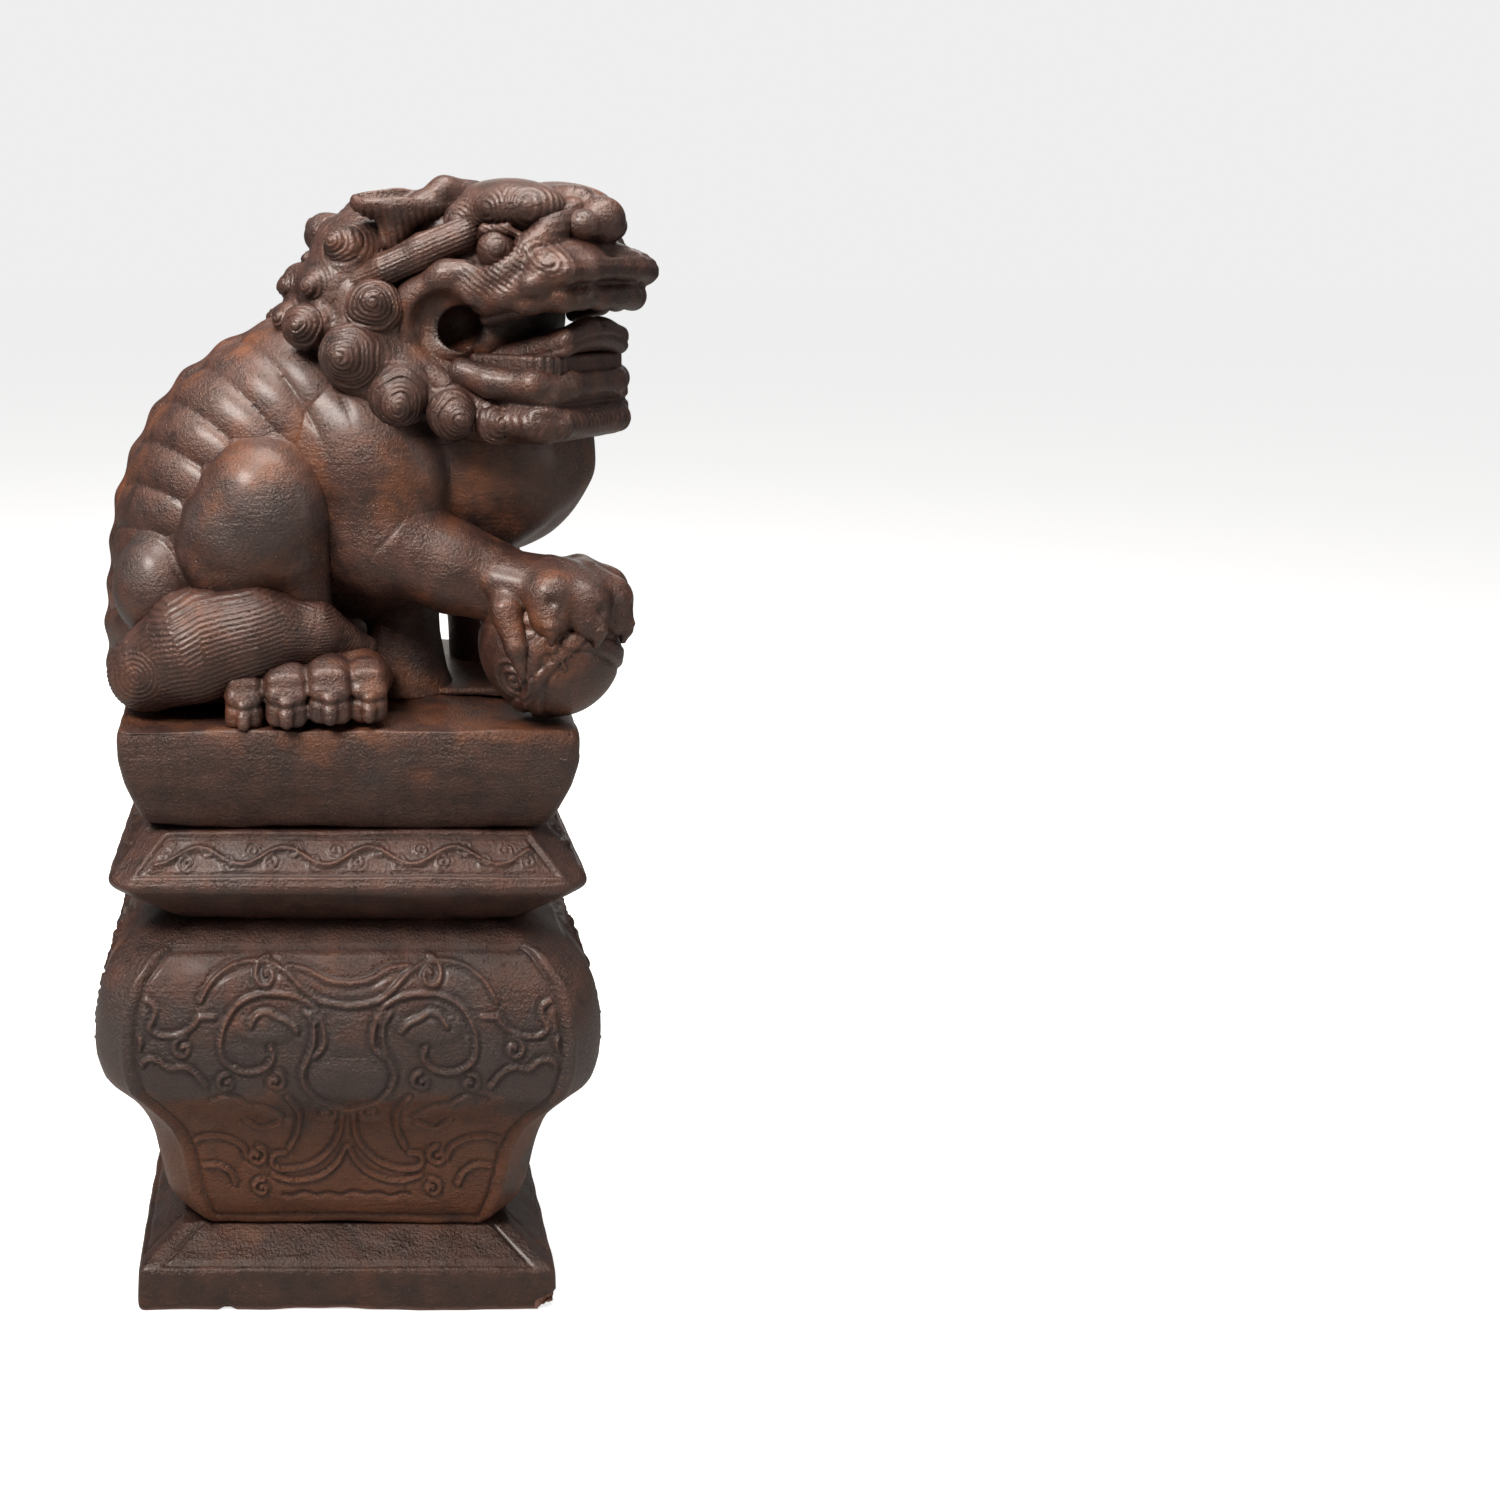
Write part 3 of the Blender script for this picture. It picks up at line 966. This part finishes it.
def nose(P):
    Q = sym(P)
    d = ell(Q, (-2, 0, 1093), (26, 24, 25))
    d = smin(d, ell(Q, (-8, 25, 1087), (20, 18, 17)), 6)
    d = smax(d, -ell(Q, (10, 24, 1068), (12, 9, 7)), 3)
    d = smin(d, seg(Q, (-26, 0, 1112), (-70, 0, 1118), 17, 12), 8)
    return d + wobble(P) * 0.4


lo, hi = head_boxed((-90, -48, 1062), (26, 48, 1136))
put(mesh_of("nose_skin", nose, lo, hi, 1.4), M_HEAD, "nose")


def jaw(P):
    Q = sym(P)
    d = rbox(Q, (-68, 0, 900), (60, 84, 34), 22, rot(0, 2, 0))
    lip = chain(Q, [((-16, 0, 927), 16), ((-16, 44, 927), 16), ((-32, 76, 927), 16), ((-76, 86, 929), 15), ((-108, 92, 938), 15)], 8)
    d = smin(d, lip, 4)
    d = d + 3.4 * np.exp(-((Q[:, 2] - 907 + 0.02 * Q[:, 0]) / 2.8) ** 2)
    chin = chain(Q, [((-14, 0, 888), 15), ((-14, 52, 888), 15), ((-34, 74, 888), 15), ((-90, 84, 890), 14)], 6)
    d = smin(d, chin, 4)
    d = smax(d, -rbox(Q, (-66, 0, 956), (56, 66, 24), 12), 4)
    ang = np.arctan2(Q[:, 1], Q[:, 0] + 70)
    beard = (0.5 + 0.5 * np.cos(ang * 60 + 1.3 * np.sin(Q[:, 2] * 0.25))) * np.clip((900 - Q[:, 2]) / 5, 0, 1) * np.clip((Q[:, 2] - 872) / 6, 0, 1)
    d = d + 1.1 * beard
    return d + wobble(P) * 0.8


lo, hi = head_boxed((-140, -104, 858), (20, 104, 950))
put(mesh_of("lower_jaw_skin", jaw, lo, hi, 1.6), M_FACE, "lower_jaw")


def tongue(P):
    Q = sym(P)
    rise = 0.26 * (Q[:, 0] + 60) - 0.0026 * Q[:, 1] ** 2
    q = Q.copy()
    q[:, 2] = Q[:, 2] - rise
    d = rbox(q, (-60, 0, 963), (60, 62, 15), 11)
    d = smin(d, ell(q, (-14, 0, 966), (18, 50, 17)), 6)
    d = d + 2.4 * np.exp(-(Q[:, 1] / 4.5) ** 2) * (q[:, 2] > 968)
    d = d + 1.5 * np.exp(-((q[:, 2] - 960) / 2.2) ** 2)
    return d + wobble(P) * 0.5


lo, hi = head_boxed((-140, -70, 915), (20, 70, 1016))
put(mesh_of("tongue_skin", tongue, lo, hi, 1.8), M_MOUTH, "tongue")


def arc_teeth(Q, front, half, z, hgt, n, r):
    """Row of blunt teeth round a U."""
    pts = [(-100, half)] + [(-100 + (front + 100 - 26) * t, half) for t in (0.25, 0.5, 0.75, 1.0)]
    for t in np.linspace(0.15, 1.0, 5):
        a = t * math.pi / 2
        pts.append((front - 26 + 26 * math.sin(a), half - 30 + 30 * math.cos(a)))
    pts += [(front, (half - 30) * t) for t in (0.66, 0.33, 0.0)]
    pts = np.array(pts)
    s = np.r_[0, np.cumsum(np.hypot(*np.diff(pts, axis=0).T))]
    d = None
    for t in np.linspace(0, s[-1], n):
        x, y = np.interp(t, s, pts[:, 0]), np.interp(t, s, pts[:, 1])
        e = rbox(Q, (x, y, z), (r, r, hgt), 4.5)
        d = e if d is None else smin(d, e, 1.6)
    return d


def teeth_low(P):
    Q = sym(P)
    d = arc_teeth(Q, -18, 74, 944, 13, 17, 7.6)
    return d + wobble(P) * 0.4


def teeth_up(P):
    Q = sym(P)
    gum = chain(Q, [((0, 0, 1029), 10), ((0, 44, 1029), 10), ((-12, 70, 1022), 10), ((-50, 78, 1004), 10), ((-84, 80, 994), 9)], 6)
    gum = gum + 1.4 * np.exp(-((Q[:, 2] - 1024 - 0.28 * np.minimum(Q[:, 0] + 10, 0)) / 2.0) ** 2)
    d = smin(gum, arc_teeth(Q, -8, 70, 1018, 9, 16, 7.4) + np.clip(-(Q[:, 0] + 50), 0, 60) * 0.3, 2)
    return d + wobble(P) * 0.4


lo, hi = head_boxed((-115, -84, 925), (-4, 84, 980))
put(mesh_of("lower_teeth_skin", teeth_low, lo, hi, 1.7), M_MOUTH, "lower_teeth")
lo, hi = head_boxed((-115, -92, 975), (14, 92, 1044))
put(mesh_of("upper_teeth_skin", teeth_up, lo, hi, 1.7), M_MOUTH, "upper_teeth")


def one_side(s):
    """Head frame with the asked side turned to positive."""
    def g(P):
        Q = loc(P)
        Q[:, 1] *= s
        return Q
    return g


for side, s in (("right", -1), ("left", 1)):
    g = one_side(s)

    def eye(P):
        Q = g(P)
        d = np.sqrt(((Q - np.array([-76, 76, 1063], f32)) ** 2).sum(1)) - 20.5
        n_ = np.array([0.60, 0.80, 0.02], f32); n_ /= np.linalg.norm(n_)
        c = np.array([-76, 76, 1063], f32)
        pr = np.sqrt(np.maximum(((Q - c) ** 2).sum(1) - ((Q - c) @ n_) ** 2, 0))
        d = d + 0.9 * np.exp(-((pr - 9.5) / 1.4) ** 2) * (((Q - c) @ n_) > 0)
        return d

    lo, hi = head_boxed((-106, 38 if s > 0 else -106, 1036), (-46, 106 if s > 0 else -38, 1090))
    put(mesh_of(side + "_eye_skin", eye, lo, hi, 1.1), M_HEAD, side + "_eye")

    def brow(P):
        Q = g(P)
        d = ell(Q, (-82, 44, 1108), (66, 42, 29), rot(4, -3, 0))
        d = smin(d, ell(Q, (-120, 66, 1096), (24, 22, 22)), 8)
        best = np.full(len(Q), 1e9, f32)
        for c_, k in (((-120, 86, 1092), 0), ((-84, 80, 1104), 4), ((-44, 66, 1106), 8)):
            r_ = np.sqrt(((Q - np.array(c_, f32)) ** 2).sum(1))
            sp_ = r_ - k
            best = np.minimum(best, sp_)
        d = d + 1.25 * (0.5 + 0.5 * np.cos(2 * math.pi * best / 4.8 + np.arctan2(Q[:, 2] - 1096, Q[:, 0] + 90))) * np.clip((1128 - Q[:, 2]) / 10, 0.15, 1)
        n1 = (0.25, 0.95, 0.15)
        d = smin(d, curl(Q, (-122, 76, 1092), n1, 21, 12, 1.7, 1, 0.2), 3)
        return d + wobble(P) * 0.4

    lo, hi = head_boxed((-160, 0 if s > 0 else -98, 1066), (-10, 98 if s > 0 else 0, 1142))
    put(mesh_of(side + "_brow_skin", brow, lo, hi, 1.45), M_MANE, side + "_brow")

    def near(P):
        """Points brought to the right of the head."""
        if s < 0:
            return P
        Q = loc(P)
        Q[:, 1] *= -1
        return np.stack([NX + Q[:, 0] * C_ - Q[:, 1] * S_, NY + Q[:, 0] * S_ + Q[:, 1] * C_, Q[:, 2]], 1).astype(f32)

    def ear(P):
        Q = near(P)
        # leaf-shaped cup: flared rim above, combed stem below
        d = ell(Q, (54.0, -92.0, 1108.5), (50, 26, 19), rot(0, -4, 0))
        d = smin(d, chain(Q, [((56.1, -92.0, 1102.3), 25), ((47.9, -90.0, 1073.2), 15)], 6), 10)
        d = smin(d, chain(Q, [((35.2, -94.0, 1114.6), 13), ((11.2, -96.0, 1115.6), 5)], 4), 6)
        d = smax(d, -ell(Q, (47.3, -100.0, 1124.7), (44, 17, 17), rot(0, -6, 0)), 3)
        d = smin(d, chain(Q, [((74.8, -92.0, 1106.4), 15), ((102.4, -86.0, 1124.4), 15), ((134.8, -76.0, 1123.8), 13)], 10), 6)
        d = smin(d, ell(Q, (116.0, -74.0, 1107.1), (34, 26, 18)), 12)
        rib = np.cos(2 * math.pi * (Q[:, 0] + 0.2 * (Q[:, 2] - 1090)) / 7.4)
        d = d + 1.7 * (0.5 + 0.5 * rib) * np.clip((1108 - Q[:, 2]) / 6, 0, 1)
        return d + wobble(P) * 0.5

    def lock(P):
        Q = near(P)
        pts = [((118.4, -114.0, 1076.8), 20), ((79.7, -110.0, 1060.5), 20), ((39.0, -102.0, 1041.9), 17), ((-0.1, -92.0, 1025.3), 9)]
        d = chain(Q, pts, 8)
        ph = (Q[:, 2] - 0.42 * Q[:, 0]) / 4.6
        return d + 1.2 * (0.5 + 0.5 * np.cos(2 * math.pi * ph + 0.8 * np.sin(Q[:, 0] * 0.05))) + wobble(P) * 0.4

    def side_box(lo_, hi_):
        c = np.array([(x, y, z) for x in (lo_[0], hi_[0]) for y in (lo_[1], hi_[1]) for z in (lo_[2], hi_[2])], float)
        if s > 0:
            c = np.array([face_mirror(p) for p in c])
        return c.min(0), c.max(0)

    lo, hi = side_box((-2, -128, 1052), (166, -42, 1148))
    put(mesh_of(side + "_ear_skin", ear, lo, hi, 1.5), M_HEAD, side + "_ear")
    lo, hi = side_box((-12, -142, 1004), (146, -72, 1106))
    put(mesh_of(side + "_cheek_lock_skin", lock, lo, hi, 1.4), M_MANE, side + "_cheek_lock")

# ---------------------------------------------------------------- mane
# near-side curls: centre, facing, radius, height, turns, hand
RC = [
    ((-2.0, -84.0, 1067.0), (-0.45, -0.85, 0.30), 23, 20, 1.7, 1),
    ((-29.2, -80.0, 1027.2), (-0.60, -0.75, 0.20), 22, 19, 1.6, -1),
    ((-43.8, -92.0, 983.7), (-0.55, -0.80, 0.05), 25, 24, 2.0, 1),
    ((28.2, -112.0, 1002.9), (-0.15, -0.98, 0.05), 31, 27, 2.3, -1),
    ((6.6, -114.0, 953.7), (-0.20, -0.97, -0.05), 36, 30, 2.6, 1),
    ((53.3, -122.0, 913.3), (-0.05, -0.98, -0.12), 33, 28, 2.5, -1),
    ((106.3, -134.0, 896.1), (0.10, -0.98, -0.10), 27, 24, 2.1, 1),
    ((150.2, -140.0, 886.6), (0.20, -0.97, -0.15), 22, 20, 1.8, -1),
]
NC = [((-14.8, -20.0, 1074.4), (-0.75, -0.35, 0.55), 23, 20, 1.8, 1), ((-46.3, -20.0, 1024.4), (-0.85, -0.30, 0.35), 24, 21, 1.8, -1),
      ((-59.2, -30.0, 987.8), (-0.85, -0.45, 0.10), 22, 19, 1.8, 1), ((19.3, -10.0, 1103.0), (-0.45, -0.20, 0.85), 22, 18, 1.8, -1),
      ((-24.1, 42.0, 1084.6), (-0.80, 0.35, 0.45), 24, 20, 1.8, -1), ((-51.1, 40.0, 1026.0), (-0.90, 0.30, 0.20), 25, 21, 1.9, 1),
      ((-26.5, 12.0, 1050.6), (-0.95, 0.0, 0.3), 21, 18, 1.7, 1), ((-64.4, 22.0, 983.8), (-0.95, 0.2, 0.05), 23, 19, 1.8, -1)]


def flip_dir(n):
    v = np.array([n[0], n[1]])
    a, w = v[0] * C_ + v[1] * S_, -v[0] * S_ + v[1] * C_
    w = -w
    return (a * C_ - w * S_, a * S_ + w * C_, n[2])


LC = [(face_mirror(c), flip_dir(n), R_, H_, t, -h) for c, n, R_, H_, t, h in RC]
ALL = RC + LC + NC
RUFF = [((7.4, -46.0, 1018.3), 56), ((40.7, -66.0, 940.4), 58), ((121.4, -84.0, 914.4), 47)]


def collar(P, detail=True):
    d = np.sqrt(((P - np.array(head(-206, 0, 992), f32)) ** 2).sum(1)) - 117
    for flipd in (False, True):
        pts = [(face_mirror(p) if flipd else p, r) for p, r in RUFF]
        d = smin(d, chain(P, pts, 14), 16)
    for flipd in (False, True):
        c0 = (23.1, -26.0, 1054.8)
        d = smin(d, ell(P, face_mirror(c0) if flipd else c0, (56, 62, 56)), 22)
    core = np.array(head(-206, 0, 992))
    for c, n, R_, H_, t, h in NC:
        c1, n1 = np.array(c, float), np.array(n, float)
        d = smin(d, seg(P, tuple(c1 - n1 / np.linalg.norm(n1) * R_ * 0.3), tuple(c1 + (core - c1) * 0.62), R_ * 0.98, 62), 10)
    for c, n, R_, H_, t, h in RC + LC:
        c1 = np.array(c, float)
        if c1[0] < 10 or np.linalg.norm(c1 - core) > 117 + R_ * 0.6:
            d = smin(d, seg(P, tuple(c1 + (core - c1) * 0.10), tuple(c1 + (core - c1) * 0.6), R_ * 0.85, 50), 8)
    Qh = sym(P)
    d = smax(d, -seg(Qh, (-70, 134, 982), (-132, 66, 982), 26, 23), 3)
    d = smax(d, -ell(Qh, (-116, 126, 985), (35, 34, 35)), 4)
    d = smax(d, -rbox(Qh, (-20, 0, 972), (96, 110, 40), 20), 3)
    if detail:
        best = np.full(len(P), 1e9, f32)
        for c, n, R_, H_, t, h in ALL:
            r = np.sqrt(((P - np.array(c, f32)) ** 2).sum(1)) - R_
            best = np.minimum(best, r)
        comb = 0.5 + 0.5 * np.cos(2 * math.pi * best / 5.2)
        d = d + 1.3 * comb - 3.0 * np.exp(-(np.maximum(best, 0) / 9.0) ** 2)
        d = d + wobble(P)
    return d


lo, hi = mm_box("mane_collar")
put(mesh_of("mane_collar_skin", collar, lo - [26, 16, 5], hi + [6, 16, 20], 2.2), M_COLLAR, "mane_collar")


def curl_set(items):
    def f(P):
        d = None
        for i, (c, n, R_, H_, t, h) in enumerate(items):
            e = curl(P, c, n, R_, H_, t, h, 0.17 * i)
            d = e if d is None else np.minimum(d, e)
        return d + wobble(P) * 0.4
    return f


def bounds_of(items):
    c = np.array([i[0] for i in items]); r = max(i[2] for i in items) + 4
    return c.min(0) - r, c.max(0) + r


for nm, items in (("right_mane_curls", RC), ("left_mane_curls", LC), ("nape_curls", NC)):
    lo, hi = bounds_of(items)
    put(mesh_of(nm + "_skin", curl_set(items), lo, hi, 1.25), M_MANE, nm)

# ---------------------------------------------------------------- stage
sc = bpy.context.scene
me = bpy.data.meshes.new("floor")
me.from_pydata([(-60, -60, 0), (60, -60, 0), (60, 60, 0), (-60, 60, 0)], [], [(0, 1, 2, 3)])
floor = bpy.data.objects.new("floor", me)
sc.collection.objects.link(floor)
fm = bpy.data.materials.new("floor_pale")
fm.use_nodes = True
fm.node_tree.nodes["Principled BSDF"].inputs["Base Color"].default_value = (0.90, 0.90, 0.89, 1)
fm.node_tree.nodes["Principled BSDF"].inputs["Roughness"].default_value = 0.9
fb = fm.node_tree.nodes["Principled BSDF"]
flp = fm.node_tree.nodes.new("ShaderNodeLightPath")
fmul = fm.node_tree.nodes.new("ShaderNodeMath"); fmul.operation = "MULTIPLY"; fmul.inputs[1].default_value = 0.72
fm.node_tree.links.new(flp.outputs["Is Camera Ray"], fmul.inputs[0])
fmx = fm.node_tree.nodes.new("ShaderNodeMix"); fmx.data_type = "RGBA"
fmx.inputs[6].default_value = (0.34, 0.33, 0.32, 1); fmx.inputs[7].default_value = (0.90, 0.90, 0.89, 1)
fm.node_tree.links.new(flp.outputs["Is Camera Ray"], fmx.inputs[0])
fm.node_tree.links.new(fmx.outputs[2], fb.inputs["Base Color"])
fb.inputs["Emission Color"].default_value = (1, 1, 1, 1)
fm.node_tree.links.new(fmul.outputs[0], fb.inputs["Emission Strength"])
me.materials.append(fm)

world = bpy.data.worlds.new("studio")
sc.world = world
world.use_nodes = True
wn, wl = world.node_tree.nodes, world.node_tree.links
wn["Background"].inputs[0].default_value = (1, 1, 1, 1)
wn["Background"].inputs[1].default_value = 0.15
bright = wn.new("ShaderNodeBackground")
bright.inputs[0].default_value = (1, 1, 1, 1)
bright.inputs[1].default_value = 0.86
lp = wn.new("ShaderNodeLightPath")
ms = wn.new("ShaderNodeMixShader")
wl.new(lp.outputs["Is Camera Ray"], ms.inputs[0])
wl.new(wn["Background"].outputs[0], ms.inputs[1])
wl.new(bright.outputs[0], ms.inputs[2])
wl.new(ms.outputs[0], wn["World Output"].inputs[0])
sc.view_settings.view_transform = "Standard"


def area(name, pos, target, size, watts):
    li = bpy.data.lights.new(name, "AREA")
    li.shape = "RECTANGLE"; li.size, li.size_y = size
    li.energy = watts
    li.color = (1.0, 0.94, 0.89)
    ob = bpy.data.objects.new(name, li)
    ob.location = pos
    ob.rotation_euler = (Vector(target) - Vector(pos)).to_track_quat("-Z", "Y").to_euler()
    sc.collection.objects.link(ob)
    return ob


area("key", (-1.3, -1.6, 2.7), (0, 0, 0.75), (1.0, 0.8), 140)
area("fill", (2.4, -1.6, 1.3), (0, 0, 0.6), (1.0, 2.0), 15)
area("top", (0.1, -0.3, 2.9), (0, 0, 0.8), (1.6, 1.1), 84)
area("back", (0.5, 2.5, 1.7), (0, 0, 0.6), (1.8, 1.6), 13)

cam = bpy.data.cameras.new("camera")
cam.sensor_fit = "HORIZONTAL"
cam.sensor_width = 36.0
cam.lens = 36.96
cam.shift_x = 0.2927
cam.shift_y = -0.3213
cam.clip_start = 0.05
co = bpy.data.objects.new("camera", cam)
co.location = (-0.0365, -1.694, 1.044)
co.rotation_euler = (math.radians(90), 0, 0)
sc.collection.objects.link(co)
sc.camera = co
